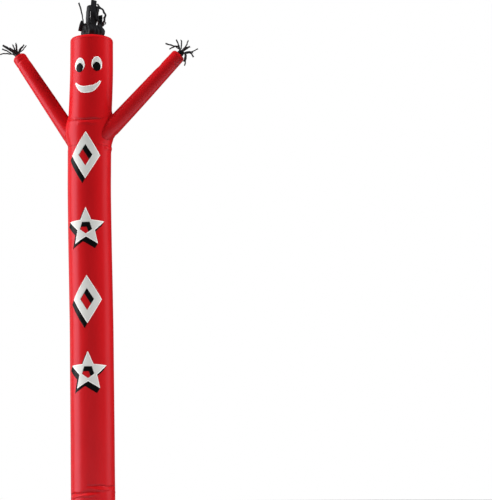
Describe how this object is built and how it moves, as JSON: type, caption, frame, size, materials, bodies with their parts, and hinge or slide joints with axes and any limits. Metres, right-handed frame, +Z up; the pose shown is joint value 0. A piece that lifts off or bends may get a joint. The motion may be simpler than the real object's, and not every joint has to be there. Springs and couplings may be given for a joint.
{
  "type": "inflatable air dancer",
  "caption": "Tall red fabric tube kept upright by a fan's air, with a smiling face, two raised arms and black strip hair and hands.",
  "frame": {"origin": "middle of the reach, level with the hem that the dancer stands on", "axes": "+Z up along the tube, -Y towards the face, +X towards the arm on the viewer's right"},
  "size_m": [2.1918, 0.5165, 5.4899],
  "materials": {
    "red_ripstop_nylon": "satin",
    "white_ripstop_nylon": "satin",
    "black_ripstop_nylon": "satin",
    "black_satin_ripstop": "satin"
  },
  "bodies": {
    "root": {"body_tube": "red_ripstop_nylon", "shoulder_tube": "red_ripstop_nylon", "head_tube": "red_ripstop_nylon", "head_top": "red_ripstop_nylon", "arm_left": "red_ripstop_nylon", "arm_right": "red_ripstop_nylon", "hair": "black_satin_ripstop", "hand_left": "black_satin_ripstop", "hand_right": "black_satin_ripstop", "eye_left": "white_ripstop_nylon", "eye_right": "white_ripstop_nylon", "pupil_left": "black_ripstop_nylon", "pupil_right": "black_ripstop_nylon", "mouth": "white_ripstop_nylon", "motif_1": "white_ripstop_nylon", "motif_2": "white_ripstop_nylon", "motif_3": "white_ripstop_nylon", "motif_4": "white_ripstop_nylon", "motif_shadow_1": "black_ripstop_nylon", "motif_shadow_2": "black_ripstop_nylon", "motif_shadow_3": "black_ripstop_nylon", "motif_shadow_4": "black_ripstop_nylon"}
  },
  "joints": []
}
